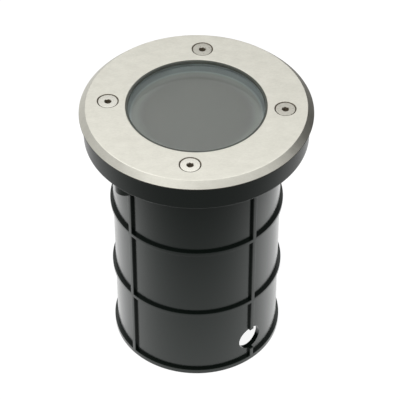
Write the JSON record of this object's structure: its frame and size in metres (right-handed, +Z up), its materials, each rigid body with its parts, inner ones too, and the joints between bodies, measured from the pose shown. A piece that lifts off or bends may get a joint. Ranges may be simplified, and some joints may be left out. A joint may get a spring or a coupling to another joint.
{
  "type": "in-ground well light",
  "caption": "Round in-ground well light: steel trim ring with countersunk screws, frosted glass, and a lamp unit standing in a ribbed black ground sleeve.",
  "frame": {"origin": "centre of the open bottom rim of the ground sleeve, the lowest point", "axes": "+Z up through the glass; the four trim screws stand on the X and Y axes"},
  "size_m": [0.11, 0.11, 0.1409],
  "materials": {
    "brushed_steel_trim": "brushed",
    "steel_fasteners": "satin",
    "sleeve_plastic": "semi-gloss moulded",
    "cast_housing": "powder coat",
    "frosted_glass": "frosted underneath",
    "black_rubber": "matte",
    "gland_plastic": "moulded",
    "lamp_white": "satin",
    "lamp_glass": "frosted",
    "ceramic": "glazed",
    "brass": "satin",
    "zinc_steel": "zinc plated",
    "terminal_plastic": "moulded",
    "brown_insulation": "satin",
    "blue_insulation": "satin",
    "green_insulation": "satin"
  },
  "bodies": {
    "ground_sleeve": {"mounting_sleeve": "sleeve_plastic", "seat_seal": "black_rubber"},
    "lamp_unit": {"housing": "cast_housing", "fixing_screws": "steel_fasteners", "lampholder_bracket": "zinc_steel", "bracket_screws": "steel_fasteners", "lampholder": "ceramic", "lampholder_contacts": "brass", "holder_screws": "steel_fasteners", "terminal_block": "terminal_plastic", "terminal_screws": "brass", "earth_screw": "steel_fasteners", "lead_live": "brown_insulation", "lead_neutral": "blue_insulation", "lead_earth": "green_insulation", "gland_body": "gland_plastic", "gland_washer": "black_rubber", "gland_locknut": "gland_plastic"},
    "trim": {"trim_ring": "brushed_steel_trim", "front_glass": "frosted_glass", "glass_gasket": "black_rubber"},
    "lamp": {"lamp_shell": "lamp_white", "lamp_lens": "lamp_glass", "lamp_base": "ceramic", "lamp_pins": "brass"},
    "gland_packing": {"gland_seal": "black_rubber"},
    "gland_cap": {"gland_nut": "gland_plastic"},
    "seal_front": {"screw_seal_front": "black_rubber"},
    "screw_front": {"trim_screw_front": "steel_fasteners"},
    "seal_right": {"screw_seal_right": "black_rubber"},
    "screw_right": {"trim_screw_right": "steel_fasteners"},
    "seal_back": {"screw_seal_back": "black_rubber"},
    "screw_back": {"trim_screw_back": "steel_fasteners"},
    "seal_left": {"screw_seal_left": "black_rubber"},
    "screw_left": {"trim_screw_left": "steel_fasteners"}
  },
  "joints": [
    {"name": "lamp_unit_lift", "type": "slide", "parent": "ground_sleeve", "child": "lamp_unit", "axis": [0, 0, 1], "range_m": [0, 0.125]},
    {"name": "trim_lift", "type": "slide", "parent": "lamp_unit", "child": "trim", "axis": [0, 0, 1], "range_m": [0, 0.03]},
    {"name": "lamp_twist", "type": "hinge", "parent": "lamp_unit", "child": "lamp", "pos_m": [0, 0, 0.072], "axis": [0, 0, 1], "range_deg": [0, 30]},
    {"name": "gland_packing_slip", "type": "slide", "parent": "lamp_unit", "child": "gland_packing", "axis": [0, 0, -1], "range_m": [0, 0.006]},
    {"name": "gland_nut_turn", "type": "hinge", "parent": "gland_packing", "child": "gland_cap", "pos_m": [0, 0, 0.022], "axis": [0, 0, -1], "range_deg": [0, 1440]},
    {"name": "screw_front_rise", "type": "slide", "parent": "trim", "child": "seal_front", "axis": [0, 0, 1], "range_m": [0, 0.0064]},
    {"name": "screw_front_turn", "type": "hinge", "parent": "seal_front", "child": "screw_front", "pos_m": [0, -0.0415, 0.1379], "axis": [0, 0, 1], "range_deg": [0, 2880]},
    {"name": "screw_right_rise", "type": "slide", "parent": "trim", "child": "seal_right", "axis": [0, 0, 1], "range_m": [0, 0.0064]},
    {"name": "screw_right_turn", "type": "hinge", "parent": "seal_right", "child": "screw_right", "pos_m": [0.0415, 0, 0.1379], "axis": [0, 0, 1], "range_deg": [0, 2880]},
    {"name": "screw_back_rise", "type": "slide", "parent": "trim", "child": "seal_back", "axis": [0, 0, 1], "range_m": [0, 0.0064]},
    {"name": "screw_back_turn", "type": "hinge", "parent": "seal_back", "child": "screw_back", "pos_m": [0, 0.0415, 0.1379], "axis": [0, 0, 1], "range_deg": [0, 2880]},
    {"name": "screw_left_rise", "type": "slide", "parent": "trim", "child": "seal_left", "axis": [0, 0, 1], "range_m": [0, 0.0064]},
    {"name": "screw_left_turn", "type": "hinge", "parent": "seal_left", "child": "screw_left", "pos_m": [-0.0415, 0, 0.1379], "axis": [0, 0, 1], "range_deg": [0, 2880]}
  ],
  "couplings": [
    {"joint": "gland_nut_turn", "follows": "gland_packing_slip", "rad_per_m": 4188.8},
    {"joint": "screw_front_turn", "follows": "screw_front_rise", "rad_per_m": 7854},
    {"joint": "screw_right_turn", "follows": "screw_right_rise", "rad_per_m": 7854},
    {"joint": "screw_back_turn", "follows": "screw_back_rise", "rad_per_m": 7854},
    {"joint": "screw_left_turn", "follows": "screw_left_rise", "rad_per_m": 7854}
  ]
}
